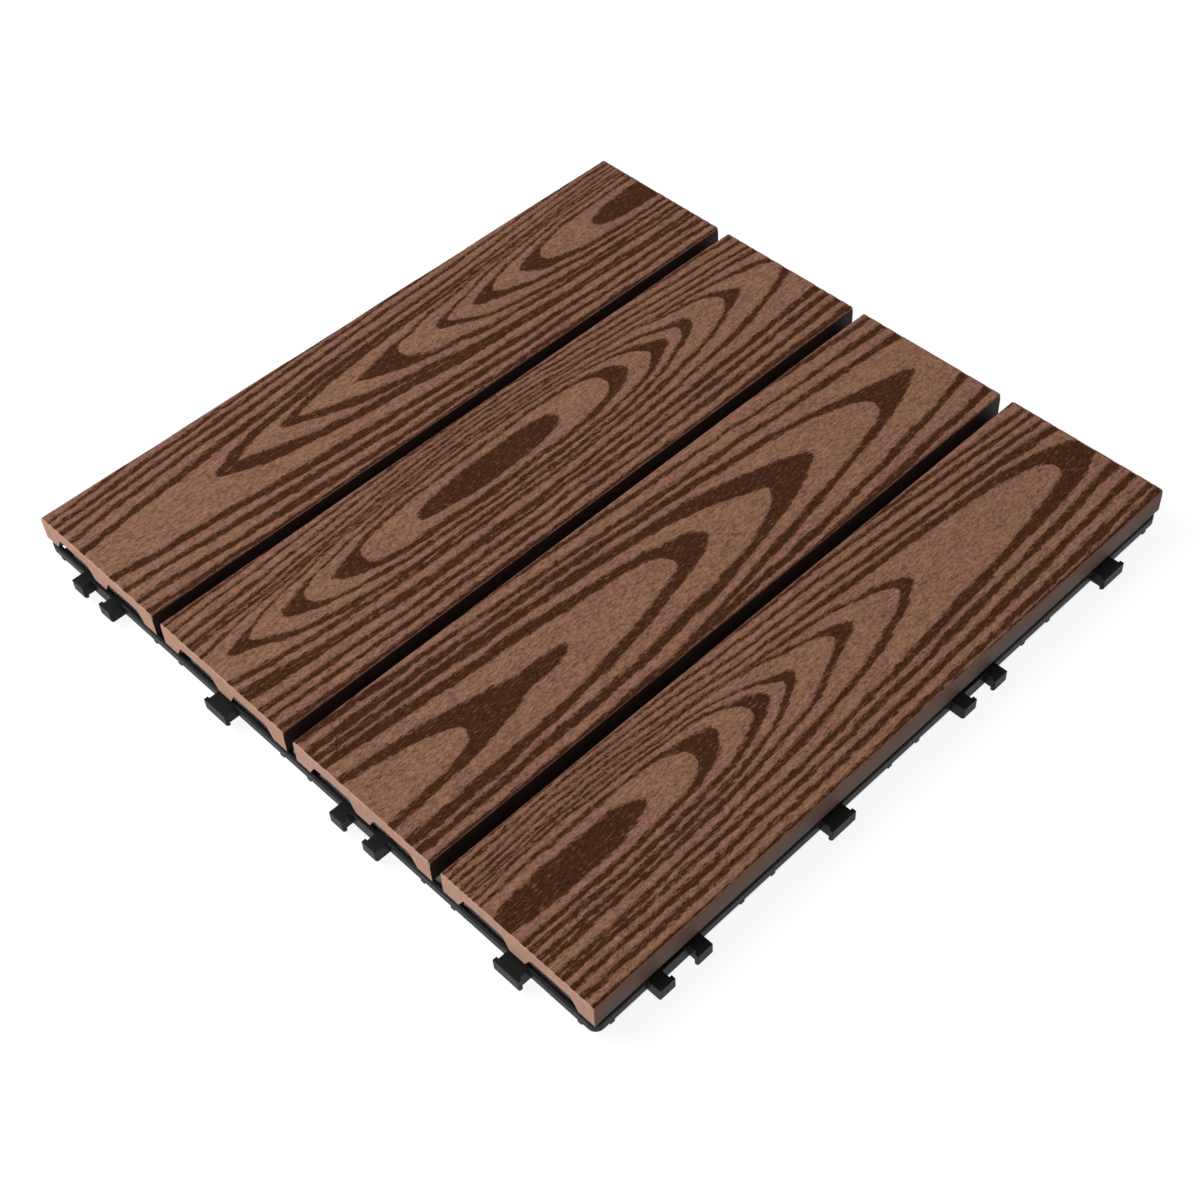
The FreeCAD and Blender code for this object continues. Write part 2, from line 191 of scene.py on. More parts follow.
class Recipe:
    """The nodes of a material or a world, written as a short list of steps."""

    def __init__(self, owner):
        owner.use_nodes = True
        self.owner = owner
        self.tree = owner.node_tree
        self.tree.nodes.clear()

    def add(self, kind, settings=None, values=None, output=0):
        """One node: its settings first, then its sockets' values or links."""
        node = self.tree.nodes.new(kind)
        for name, value in (settings or {}).items():
            setattr(node, name, value)
        for name, value in (values or {}).items():
            if isinstance(value, Wire):
                self.tree.links.new(value.socket, node.inputs[name])
            else:
                node.inputs[name].default_value = value
        return Wire(self, node.outputs[output]) if node.outputs else None

    def math(self, operation, *values):
        """A number from one Math node."""
        return self.add("ShaderNodeMath", {"operation": operation}, dict(enumerate(values)))

    def place(self):
        """The point's place on the object, in metres."""
        return self.add("ShaderNodeTexCoord", output="Object")

    def from_middle(self, axis):
        """Distance from the tile's middle along one axis, in metres."""
        place = self.add("ShaderNodeSeparateXYZ", None, {0: self.place()}, axis)
        return self.math("ABSOLUTE", place)

    def noise(self, grain, detail=2.0, roughness=0.5):
        """Smooth noise from 0 to 1 whose grains measure this many millimetres along x, y and z."""
        stretched = self.add("ShaderNodeVectorMath", {"operation": "MULTIPLY"},
                             {0: self.place(), 1: [1 / (size * MM) for size in grain]})
        return self.add("ShaderNodeTexNoise", None, {
            "Vector": stretched, "Scale": 1.0, "Detail": detail, "Roughness": roughness})

    def swing(self, middle, *noises):
        """A number about the middle. Each noise comes with how far it swings it, end to end."""
        for noise, span in noises:
            middle = middle + (noise - 0.5) * span
        return middle

    def step(self, value, low, high):
        """0 below low, 1 above high, and smooth between them."""
        return self.add("ShaderNodeMapRange", {"interpolation_type": "SMOOTHSTEP"},
                        {"Value": value, "From Min": low, "From Max": high})

    def blend(self, first, second, share):
        """A colour between two colours."""
        first, second = ((*colour, 1.0) if isinstance(colour, tuple) else colour
                         for colour in (first, second))
        return self.add("ShaderNodeMix", {"data_type": "RGBA"}, {0: share, 6: first, 7: second}, 2)

    def shade(self, colour, strength):
        """A colour made lighter or darker by a number."""
        return self.add("ShaderNodeVectorMath", {"operation": "SCALE"},
                        {0: colour, "Scale": strength})

    def bump(self, height, strength, metres):
        """Fine relief that is too small for the mesh."""
        return self.add("ShaderNodeBump", None, {
            "Height": height, "Strength": strength, "Distance": metres})

    def end(self, output, shader):
        """Joins the shader to the output node. Gives the finished material or world."""
        self.add(output, None, {"Surface": shader})
        return self.owner

    def surface(self, **values):
        """The finished material. A value's name is the socket's, with _ for a space."""
        named = {name.replace("_", " "): value for name, value in values.items()}
        return self.end("ShaderNodeOutputMaterial",
                        self.add("ShaderNodeBsdfPrincipled", None, named))


def new_recipe(name):
    """A recipe for a new material."""
    return Recipe(bpy.data.materials.new(name))


def embossed_top(settings):
    """The pressed wood grain of the walking face."""
    recipe = new_recipe("slat_embossed_top")
    grain = recipe.add("ShaderNodeAttribute", {"attribute_name": GRAIN}, output="Fac")
    fibres = recipe.noise((0.6, 5.0, 0.6), detail=3.0, roughness=0.6)
    flecks = recipe.noise((0.7, 1.5, 0.7), detail=3.0, roughness=0.65)
    clouds = recipe.noise((8.0, 22.0, 8.0))
    streaks = recipe.step(recipe.noise((0.45, 3.2, 0.45)), 0.55, 0.7)
    ragged_grain = recipe.swing(grain, (fibres, 1.5), (flecks, 1.5))
    pressed = recipe.step(ragged_grain, 0.42, 0.58) * (1 - streaks * 0.45)
    raised = recipe.blend(tuple(settings.raised), tuple(settings.raised_warm),
                          recipe.step(clouds, 0.35, 0.65))
    colour = recipe.blend(raised, tuple(settings.recessed), pressed)
    strength = recipe.swing(1, (flecks, 2.6), (fibres, 1.4), (clouds, 0.3))
    return recipe.surface(
        Base_Color=recipe.shade(colour, strength),
        Roughness=0.7 + fibres * 0.1 + pressed * 0.1,
        Normal=recipe.bump(fibres * 0.5 + flecks * 0.5, 0.8, 0.18 * MM),
        Specular_IOR_Level=0.08)


def sawn_end(settings):
    """The sawn end of a slat: paler, with fine upright saw marks and specks of wood flour."""
    recipe = new_recipe("slat_sawn_end")
    marks = recipe.noise((0.6, 8.0, 5.0))
    specks = recipe.noise((0.6, 0.6, 0.6), detail=3.0, roughness=0.7)
    clouds = recipe.noise((16.0, 16.0, 6.0))
    dark = tuple(value * 0.62 for value in settings.cut)
    speckled = recipe.blend(tuple(settings.cut), dark, recipe.step(specks, 0.56, 0.74) * 0.6)
    strength = recipe.swing(1, (marks, 0.5), (specks, 0.6), (clouds, 0.3))
    return recipe.surface(
        Base_Color=recipe.shade(speckled, strength),
        Roughness=0.72 + marks * 0.15,
        Normal=recipe.bump(marks + specks, 0.35, 0.1 * MM),
        Specular_IOR_Level=0.15)


def skin_and_painted_gap_shade(settings):
    """The smooth sides and underside, with faint lines from the extruder.

    The walls of the gaps between slats are painted darker, to half a millimetre deep: painted shade
    for the little light that reaches down between the slats.
    """
    recipe = new_recipe("slat_extruded_skin")
    lines = recipe.noise((0.4, 60.0, 0.4))
    specks = recipe.noise((0.5, 0.9, 0.5), detail=3.0, roughness=0.65)
    clouds = recipe.noise((9.0, 40.0, 9.0))
    gap_left, gap_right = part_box(SLATS[-2])[1][0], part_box(SLATS[-1])[0][0]
    half_gap = (gap_right - gap_left) / 2
    to_middle_gap = recipe.from_middle(0)
    to_outer_gap = recipe.math("ABSOLUTE", to_middle_gap - (gap_left + gap_right) / 2)
    to_gap = recipe.math("MINIMUM", to_middle_gap, to_outer_gap)
    # Painted shade: within about half a millimetre of a gap's wall, the skin colour is blended to
    # the darker gap colour.
    painted_shade_share = recipe.step(to_gap, half_gap + 0.8 * MM, half_gap + 0.4 * MM)
    skin = recipe.blend(tuple(settings.skin), tuple(settings.painted_gap_shade), painted_shade_share)
    strength = recipe.swing(1, (lines, 0.6), (specks, 0.6), (clouds, 0.4))
    return recipe.surface(
        Base_Color=recipe.shade(skin, strength),
        Roughness=0.5 + specks * 0.2,
        Normal=recipe.bump(lines + specks, 0.3, 0.08 * MM),
        Specular_IOR_Level=0.15)


def moulded_plastic(settings):
    """Black polypropylene with a fine eroded texture and a few pale scuffs."""
    recipe = new_recipe("base_moulded_plastic")
    pores = recipe.noise((0.35, 0.35, 0.35), roughness=0.6)
    flow = recipe.noise((12.0, 12.0, 5.0))
    scuffs = recipe.step(recipe.noise((0.6, 2.4, 2.0), detail=4.0, roughness=0.7), 0.62, 0.78)
    pale = tuple(value * 2.2 + 0.004 for value in settings.plastic)
    return recipe.surface(
        Base_Color=recipe.blend(tuple(settings.plastic), pale, scuffs * 0.5 + flow * 0.2),
        Roughness=0.34 + pores * 0.14 + flow * 0.1 + scuffs * 0.12,
        Normal=recipe.bump(pores, 0.25, 0.05 * MM),
        Specular_IOR_Level=0.14)


def plated_steel(settings):
    """Zinc plated steel with fine turning marks."""
    recipe = new_recipe("screw_plated_steel")
    marks = recipe.noise((0.25, 0.25, 0.12))
    clouds = recipe.noise((2.5, 2.5, 2.5))
    dull = tuple(value * 0.7 for value in settings.steel)
    return recipe.surface(
        Base_Color=recipe.blend(tuple(settings.steel), dull, recipe.step(clouds, 0.4, 0.65)),
        Metallic=1.0,
        Roughness=0.26 + marks * 0.14 + clouds * 0.12,
        Normal=recipe.bump(marks, 0.2, 0.03 * MM))


# The pressed grain

@dataclass
class Flank:
    """One side of a growth ring, in millimetres.

    reach, growth: half width, and how it grows away from the tips.
    top_blunt, low_blunt: how blunt the top and the bottom are.
    band, far_band: width of the dark band at the waist and far from it.
    hollow: how blunt the inner edge of the band is.
    bulge: extra reach beside the heart of the pattern.
    """
    reach: float
    growth: float
    top_blunt: float
    low_blunt: float
    band: float
    far_band: float
    hollow: float = 4.0
    bulge: float = 0.0


@dataclass
class Ring:
    """One dark growth ring about the heart of the pattern, in millimetres.

    tips: outer and inner top, inner and outer bottom, along the slat.
    axis: the ring's middle line at its top, at its waist and at its bottom, across the slat.
    """
    tips: tuple
    axis: tuple
    right: Flank
    left: Flank


HEART = Ring((23, 23, -51, -51), (-7, -6.8, -6), Flank(7.0, 0, 12, 13, 0, 0),
             Flank(6.8, 0, 8, 12, 0, 0))
HEART_RINGS = [
    Ring((61, 49, -80, -91), (-7.8, -7, -6),
         Flank(11.0, 0, 16, 18, 2.5, 2.5), Flank(10.6, 0, 12, 18, 1.5, 1.7)),
    Ring((83, 73, -106, -118), (-8, -7, -5.5),
         Flank(15.2, 0, 22, 30, 2.0, 2.6), Flank(15.5, 0, 26, 40, 1.1, 2.0)),
    Ring((98, 91, -132, -140), (-8, -7, -5.5),
         Flank(18.7, 0, 28, 28, 1.9, 2.8), Flank(18.2, 0, 34, 50, 1.0, 1.8)),
    Ring((126, 117, -161, -185), (-8, -7, -5),
         Flank(22.0, 0, 38, 50, 1.9, 3.6), Flank(25.0, 0, 52, 120, 1.0, 2.2)),
    Ring((159, 151, -210, -219), (-5, -7, -7),
         Flank(9.4, 0.18, 17, 20, 2.1, 5.0), Flank(11.5, 0, 20, 35, 1.0, 4.0, 4, 9.2)),
    Ring((262, 240, -245, -255), (-2, -7, -3.5),
         Flank(6.3, 0.175, 6, 18, 2.1, 6.2), Flank(8.5, 0.055, 22, 18, 1.0, 4.6, 4, 7.5)),
    Ring((338, 325, -340, -352), (1.3, -7, 2),
         Flank(4.6, 0.165, 6, 10, 2.1, 3.6), Flank(6.5, 0.08, 6, 15, 1.1, 3.6, 4, 5.2)),
    Ring((392, 380, -395, -407), (4.3, -7, 2),
         Flank(8.0, 0.148, 6, 10, 2.1, 3.2), Flank(8.0, 0.085, 20, 20, 1.1, 2.4, 4, 3.0)),
    Ring((457, 445, -455, -467), (8.4, -7, 4),
         Flank(11.0, 0.136, 6, 10, 2.1, 3.0), Flank(8.5, 0.09, 30, 30, 1.1, 2.2, 4, 1.5)),
    Ring((506, 494, -515, -527), (12, -7, 9),
         Flank(14.0, 0.12, 6, 10, 2.1, 3.0), Flank(12.0, 0.078, 30, 10, 1.1, 2.0)),
    Ring((546, 534, -555, -567), (15, -7, 18),
         Flank(24.0, 0.16, 6, 10, 2.0, 3.0), Flank(14.0, 0.088, 30, 10, 1.1, 1.8)),
]

FAR = -100000
FLAME_KNOT = Ring((-55, -55, -86, -86), (3, 3, 3), Flank(3.8, 0, 5, 5, 0, 0),
                  Flank(4.2, 0, 7, 5, 0, 0))
FLAME_RINGS = [
    Ring((-70, -104, FAR, FAR), (3.5, 3.5, 3.5),
         Flank(13.6, 0, 34, 1, 3.7, 3.4), Flank(18.0, 0, 50, 1, 3.6, 2.8, 12)),
    Ring((18, -2, FAR, FAR), (2.2, 2.2, 2.2),
         Flank(24.3, 0, 58, 1, 4.3, 2.8, 3), Flank(8.7, 0.080, 14, 1, 4.6, 3.0, 3)),
    Ring((76, 50, FAR, FAR), (2.6, 2.6, 2.6),
         Flank(28.0, 0, 58, 1, 4.2, 2.6, 7), Flank(18.0, 0.038, 34, 1, 3.6, 2.6, 22)),
    Ring((139, 113, FAR, FAR), (1.2, 1.2, 1.2),
         Flank(6.8, 0.155, 15, 1, 2.8, 3.6), Flank(26.0, 0.014, 80, 1, 2.7, 3.4, 8)),
    Ring((212, 194, FAR, FAR), (1.5, 1.5, 1.5),
         Flank(36.0, 0, 100, 1, 2.8, 4.4), Flank(15.0, 0.058, 20, 1, 2.0, 6.0)),
    Ring((276, 264, FAR, FAR), (1.5, 1.5, 1.5),
         Flank(20.0, 0.065, 10, 1, 3.2, 4.0), Flank(19.0, 0.053, 10, 1, 1.8, 4.4)),
    Ring((346, 334, FAR, FAR), (1.5, 1.5, 1.5),
         Flank(26.0, 0.050, 10, 1, 3.2, 3.4), Flank(18.0, 0.075, 10, 1, 2.0, 3.2)),
]

# The press roller meets every slat at another place of its pattern.
ROLLER_START = {"slat_1": -164, "slat_2": 0, "slat_3": 0, "slat_4": 107}
FLAME_SLAT = "slat_3"

# Lengths in millimetres.
# A ring's width is worked out at steps along a line that reaches a little past the slat.
LINE_STEP, LINE_MARGIN = 0.5, 5
TIP_ROUNDING = 2.6
# A band changes to its far width between these distances from the heart.
BAND_CHANGE = (60, 280)
# This share of a band's width comes and goes over this length.
BAND_SWELL, SWELL_LENGTH = 0.25, 26
BULGE_LENGTH = 85
# Half the width of the slope at a band's edge, and the width of the wider slope in its tone.
SHOULDER, TONE_WIDTH = 0.42, 2.4
# The closely set lines on the left of a slat have smoother edges: places across the slat.
FINE_LINES = (-22, -12)
FIRST_SEED = 40


def smooth_step(low, high, value):
    """0 below low, 1 above high, and smooth between them."""
    share = np.clip((value - low) / (high - low), 0, 1)
    return share * share * (3 - 2 * share)


class Unevenness:
    """Smooth chance values from -1 to 1 over a plane, the same on every run."""
    SIZE = 256

    def __init__(self, seed):
        self.lattice = np.random.default_rng(seed).uniform(-1, 1, (self.SIZE, self.SIZE))

    def __call__(self, across, along):
        column, row = np.floor(across).astype(int), np.floor(along).astype(int)
        right = smooth_step(0, 1, across - column)
        up = smooth_step(0, 1, along - row)

        def corner(step_across, step_up):
            return self.lattice[(row + step_up) % self.SIZE, (column + step_across) % self.SIZE]
        lower = corner(0, 0) * (1 - right) + corner(1, 0) * right
        upper = corner(0, 1) * (1 - right) + corner(1, 1) * right
        return lower * (1 - up) + upper * up


def opened(distance, blunt):
    """How far a ring has opened at a distance from its rounded tip: 0 at the tip, 1 far from it."""
    rounded = distance + TIP_ROUNDING * (1 - np.exp(-np.clip(distance, 0, None)))
    # The limit keeps the number small far outside the ring.
    return 1 - np.exp(np.clip(-rounded / blunt, None, 30))


def ring_walls(ring, flank, line, uneven):
    """Outer and inner half width of a ring on one side, at each place of a line along the slat."""
    top_out, top_in, low_in, low_out = ring.tips
    from_top, from_low = top_out - line, line - low_out
    length = np.clip(from_top, 0, None) * np.clip(from_low, 0, None) / (top_out - low_out)
    band = flank.band + (flank.far_band - flank.band) * smooth_step(*BAND_CHANGE, np.abs(line))
    swell = uneven(line / SWELL_LENGTH, np.full_like(line, flank.reach))
    band = band * (1 + BAND_SWELL * swell)
    reach = flank.reach + flank.growth * length + flank.bulge * np.exp(-(line / BULGE_LENGTH) ** 2)
    outer = ((reach + band / 2)
             * opened(from_top, flank.top_blunt) * opened(from_low, flank.low_blunt))
    if not flank.band:
        return outer, np.full_like(line, -1.0)
    inner = (np.maximum(outer - band, 0.1)
             * opened(top_in - line, flank.hollow) * opened(line - low_in, flank.hollow))
    return outer, inner


def outside_ring(ring, across, along, uneven):
    """Distance in millimetres to a ring's dark band, negative inside it."""
    top_axis, waist, low_axis = ring.axis
    to_tip = np.clip(np.where(along > 0, along / ring.tips[0], along / ring.tips[-1]), 0, 1)
    offset = across - waist - (np.where(along > 0, top_axis, low_axis) - waist) * to_tip ** 2
    line = np.arange(along.min() - LINE_MARGIN, along.max() + LINE_MARGIN, LINE_STEP)
    distance = np.empty_like(offset)
    for flank, on_side in ((ring.right, offset >= 0), (ring.left, offset < 0)):
        outer, inner = ring_walls(ring, flank, line, uneven)
        steepness = np.hypot(1, np.gradient(outer, line))
        outer, inner, steepness = (np.interp(along[on_side], line, values)
                                   for values in (outer, inner, steepness))
        from_axis = np.abs(offset[on_side])
        distance[on_side] = np.maximum(from_axis - outer, inner - from_axis) / steepness
    return distance


def pressed_grain(slat, across, along):
    """How far the roller pressed each point down, and how near a dark band it is, from 0 to 1.

    Places across and along the slat are in millimetres.
    """
    uneven = Unevenness(FIRST_SEED + SLATS.index(slat))

    def waves(wide, long, start_across=0, start_along=0):
        """Chance values whose waves measure this many millimetres across and along the slat."""
        return uneven(across / wide + start_across, along / long + start_along)
    wander = 0.5 * waves(7, 22) + 0.3 * waves(3, 9, 90)
    drift = 2.5 * waves(6, 16, 40, 7)
    ragged = 0.40 * waves(0.9, 3.2, 20) + 0.31 * waves(0.5, 1.3, 0, 50)
    streaks = waves(0.7, 7, 60, 30)
    if slat == FLAME_SLAT:
        rings = FLAME_RINGS + [FLAME_KNOT]
    else:
        rings = HEART_RINGS + [HEART]
        ragged = ragged * (0.6 + 0.4 * smooth_step(*FINE_LINES, across))
    place = along + ROLLER_START[slat] + drift
    nearest = np.minimum.reduce([outside_ring(ring, across + wander, place, uneven)
                                 for ring in rings]) + ragged
    pressed = smooth_step(SHOULDER, -SHOULDER, nearest)
    pressed = pressed * (1 - 0.35 * smooth_step(0.25, 0.8, streaks))
    return pressed, np.clip(0.5 - nearest / TONE_WIDTH, 0, 1)


# Slats

# How finely the crown of a slat is divided.
SIDE_STRIPS, ARC_POINTS, TOP_POINTS, LONG_ROWS = 2, 9, 196, 399
# The grain fades out between these shares of the way down the rounded edge.
GRAIN_FADE = (0.45, 1.0)
# The end's first row of faces is this many end breaks long, and lies this far below the grain.
END_ROW, END_SINK = 1.4, 0.05 * MM
# The crown meets the slat's lower part this far below its fine mesh.
SEAM_DROP = 0.4 * MM
TOP_FINISH, CUT_FINISH, SKIN_FINISH = range(3)


def crown_section(half_width, settings):
    """Across a slat, over its top: place, outward direction, grain place and grain strength."""
    rounding = settings.edge_rounding
    flat = half_width - rounding
    arc = np.linspace(0, math.pi / 2, ARC_POINTS)
    side = np.linspace(settings.crown_depth, rounding, SIDE_STRIPS + 1)[:-1]
    top = np.linspace(-flat, flat, TOP_POINTS + 2)[1:-1]
    across = np.concatenate([np.full(SIDE_STRIPS, half_width), flat + rounding * np.cos(arc)])
    height = np.concatenate([-side, -rounding + rounding * np.sin(arc)])
    outward = np.concatenate([np.ones(SIDE_STRIPS), np.cos(arc)])
    upward = np.concatenate([np.zeros(SIDE_STRIPS), np.sin(arc)])
    past_flat = np.concatenate([math.pi / 2 * rounding + side - rounding,
                                (math.pi / 2 - arc) * rounding])
    strength = 1 - smooth_step(*GRAIN_FADE, past_flat / (math.pi / 2 * rounding))
    return {
        "x": np.concatenate([-across, top, across[::-1]]),
        "z": np.concatenate([height, np.zeros(len(top)), height[::-1]]),
        "outward": np.concatenate([-outward, np.zeros(len(top)), outward[::-1]]),
        "upward": np.concatenate([upward, np.ones(len(top)), upward[::-1]]),
        "grain_x": np.concatenate([-flat - past_flat, top, flat + past_flat[::-1]]),
        "strength": np.concatenate([strength, np.ones(len(top)), strength[::-1]]),
    }


def crown_rows(half_length, settings):
    """Places along a slat, with a narrow first and last row for the broken end edge."""
    near_end = half_length - END_ROW * settings.end_break
    rows = np.linspace(-near_end, near_end, LONG_ROWS)
    return np.concatenate([[-half_length], rows, [half_length]])


def lower_part(node, height):
    """Corners and faces of a slat below a height, from its own solid, and which faces end it."""
    shape = bmesh.new()
    shape.from_mesh(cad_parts[node].data)
    bmesh.ops.remove_doubles(shape, verts=shape.verts, dist=JOIN_DISTANCE)
    bmesh.ops.dissolve_limit(shape, angle_limit=FLAT_ANGLE, verts=shape.verts, edges=shape.edges)
    bmesh.ops.bisect_plane(shape, geom=shape.verts[:] + shape.edges[:] + shape.faces[:],
                           plane_co=(0, 0, height), plane_no=(0, 0, 1), clear_outer=True)
    shape.verts.index_update()
    corners = [tuple(vert.co) for vert in shape.verts]
    faces = [[vert.index for vert in face.verts] for face in shape.faces]
    ends = [abs(face.normal.y) > 0.9 for face in shape.faces]
    shape.free()
    return corners, faces, ends


def make_slat(node, settings, finishes):
    """One slat with its pressed grain as real relief."""
    low, high = (Vector(corner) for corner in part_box(node))
    middle = (low + high) / 2
    half_width, half_length = (high.x - low.x) / 2, (high.y - low.y) / 2
    section = crown_section(half_width, settings)
    rows = crown_rows(half_length, settings)
    across, along = np.meshgrid(section["grain_x"], rows)
    pressed, grain = (value * section["strength"]
                      for value in pressed_grain(node, across / MM, along / MM))
    sunk = pressed * settings.emboss_depth
    topness = smooth_step(-settings.crown_depth, -settings.edge_rounding, section["z"])
    for end in (0, -1):
        sunk[end] = np.maximum(settings.end_break, sunk[end] + END_SINK) * topness
    points = np.stack([middle.x + section["x"] - section["outward"] * sunk,
                       middle.y + np.broadcast_to(rows[:, None], sunk.shape),
                       high.z + section["z"] - section["upward"] * sunk], axis=-1)

    seam = high.z - settings.crown_depth - SEAM_DROP
    corners, faces, ends = lower_part(node, seam)
    first = len(corners)
    row_count, column_count = sunk.shape
    index = first + np.arange(row_count * column_count).reshape(row_count, column_count)
    quads = np.stack([index[:-1, :-1], index[:-1, 1:], index[1:, 1:], index[1:, :-1]], axis=-1)

    def seam_corner(side, end):
        goal = Vector((middle.x + side * half_width, middle.y + end * half_length, seam))
        return min(range(first), key=lambda number: (Vector(corners[number]) - goal).length)
    front_left, front_right = seam_corner(-1, -1), seam_corner(1, -1)
    back_left, back_right = seam_corner(-1, 1), seam_corner(1, 1)
    index = index.tolist()
    closing = [
        [row[0] for row in index] + [back_left, front_left],
        [row[-1] for row in index[::-1]] + [front_right, back_right],
        index[0][::-1] + [front_left, front_right],
        index[-1] + [back_right, back_left],
    ]
    mesh = bpy.data.meshes.new(node + "_dressed")
    mesh.from_pydata(corners + points.reshape(-1, 3).tolist(), [],
                     faces + quads.reshape(-1, 4).tolist() + closing)
    broken_edge = np.zeros(quads.shape[:2], dtype=bool)
    broken_edge[[0, -1]] = True
    crown = np.where(broken_edge, CUT_FINISH, TOP_FINISH)
    crown[1:-1, :SIDE_STRIPS] = crown[1:-1, -SIDE_STRIPS:] = SKIN_FINISH
    slots = np.concatenate([np.where(ends, CUT_FINISH, SKIN_FINISH), crown.ravel(),
                            [SKIN_FINISH, SKIN_FINISH, CUT_FINISH, CUT_FINISH]])
    smooth = np.concatenate([np.zeros(len(faces), dtype=bool), ~broken_edge.ravel(),
                             np.zeros(len(closing), dtype=bool)])
    mesh.polygons.foreach_set("material_index", slots.astype(np.int32))
    mesh.polygons.foreach_set("use_smooth", smooth)
    attribute = mesh.attributes.new(GRAIN, "FLOAT", "POINT")
    attribute.data.foreach_set("value", np.concatenate([np.zeros(first), grain.ravel()]))
    for finish in finishes:
        mesh.materials.append(finish)
    mesh.update()
    piece = bpy.data.objects.new(node + "_dressed", mesh)
    bpy.context.scene.collection.objects.link(piece)
    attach(piece, BODY)
    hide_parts(node)


class TILE_OT_slats(bpy.types.Operator):
    """Makes the four slats with their pressed grain and sawn ends"""
    bl_idname = "deck_tile.make_slats"
    bl_label = "Make slats"

    def execute(self, context):
        settings = context.scene.deck_slats
        finishes = [embossed_top(settings), sawn_end(settings), skin_and_painted_gap_shade(settings)]
        for node in SLATS:
            make_slat(node, settings, finishes)
        return {"FINISHED"}


# Base

class TILE_OT_base(bpy.types.Operator):
    """Gives the base its rounded edges and its black plastic"""
    bl_idname = "deck_tile.finish_base"
    bl_label = "Finish base"

    def execute(self, context):
        settings = context.scene.deck_base
        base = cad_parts["base"]
        weld = base.modifiers.new("join corners", "WELD")
        weld.merge_threshold = JOIN_DISTANCE
        flat = base.modifiers.new("join flat faces", "DECIMATE")
        flat.decimate_type = "DISSOLVE"
        flat.angle_limit = FLAT_ANGLE
        bevel = base.modifiers.new("round edges", "BEVEL")
        bevel.width = settings.edge_rounding
        bevel.segments = 2
        bevel.limit_method = "ANGLE"
        bevel.angle_limit = math.radians(30)
        base.data.materials.clear()
        base.data.materials.append(moulded_plastic(settings))
        return {"FINISHED"}


# Screws

SHANK_SIDES = 24
# The floor of the cross recess is this much narrower than its mouth, over the cross and the arm.
CROSS_TAPER, ARM_TAPER = 0.6, 0.8
# The head's bevel is this share of its width high.
BEVEL_SLOPE = 0.6


def screw_places():
    """The lowest and highest place of each screw along each axis, from the solids."""
    shape = bmesh.new()
    shape.from_mesh(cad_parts["screws"].data)
    bmesh.ops.remove_doubles(shape, verts=shape.verts, dist=JOIN_DISTANCE)
    left = set(shape.verts)
    places = []
    while left:
        screw, edge = set(), {left.pop()}
        while edge:
            vert = edge.pop()
            screw.add(vert)
            edge |= {link.other_vert(vert) for link in vert.link_edges} - screw
        left -= screw
        along_axes = [[vert.co[axis] for vert in screw] for axis in range(3)]
        places.append([(min(values), max(values)) for values in along_axes])
    shape.free()
    return sorted(places)


def ring_of(shape, count, radius, height, centre):
    """Corners spaced evenly on a circle about the screw's middle line."""
    turns = [2 * math.pi * number / count for number in range(count)]
    return [shape.verts.new((centre.x + radius * math.cos(turn),
                             centre.y + radius * math.sin(turn), height)) for turn in turns]


def bridge(shape, lower, upper):
    """Faces between two rings of the same number of corners."""
    count = len(lower)
    for number in range(count):
        following = (number + 1) % count
        shape.faces.new((lower[number], lower[following], upper[following], upper[number]))


def cross_outline(shape, width, arm, height, centre):
    """The twelve corners of a cross."""
    long, short = width / 2, arm / 2
    quarter = [(long, -short), (long, short), (short, short)]
    corners = []
    for _ in range(4):
        corners += [shape.verts.new((centre.x + x, centre.y + y, height)) for x, y in quarter]
        quarter = [(-y, x) for x, y in quarter]
    return corners


def edges_of(shape, ring):
    """The edges of a closed ring of corners, made where they are missing."""
    pairs = [(vert, ring[(number + 1) % len(ring)]) for number, vert in enumerate(ring)]
    return [shape.edges.get(pair) or shape.edges.new(pair) for pair in pairs]


def add_screw(shape, place, settings):
    """A hexagonal head with a cross recess, and a pointed shank."""
    (left, right), (front, back), (bottom, top) = place
    centre = Vector(((left + right) / 2, (front + back) / 2, 0))
    seat = bottom + settings.head_height
    corner = settings.across_flats / math.sqrt(3)
    face_ring = ring_of(shape, 6, corner - settings.head_break, bottom, centre)
    side_ring = ring_of(shape, 6, corner, bottom + BEVEL_SLOPE * settings.head_break, centre)
    seat_ring = ring_of(shape, 6, corner, seat, centre)
    bridge(shape, face_ring, side_ring)
    bridge(shape, side_ring, seat_ring)
    shape.faces.new(seat_ring)

    mouth = cross_outline(shape, settings.cross_width, settings.cross_arm, bottom, centre)
    floor = cross_outline(shape, settings.cross_width * CROSS_TAPER,
                          settings.cross_arm * ARM_TAPER, bottom + settings.cross_depth, centre)
    bridge(shape, mouth, floor)
    shape.faces.new(floor)
    bmesh.ops.triangle_fill(shape, edges=edges_of(shape, face_ring) + edges_of(shape, mouth),
                            use_beauty=True, use_dissolve=False)

    radius = settings.shank / 2
    foot = ring_of(shape, SHANK_SIDES, radius, seat, centre)
    shoulder = ring_of(shape, SHANK_SIDES, radius, top - settings.point, centre)
    bridge(shape, foot, shoulder)
    tip = shape.verts.new((centre.x, centre.y, top))
    for number, vert in enumerate(shoulder):
        shape.faces.new((vert, shoulder[(number + 1) % SHANK_SIDES], tip))


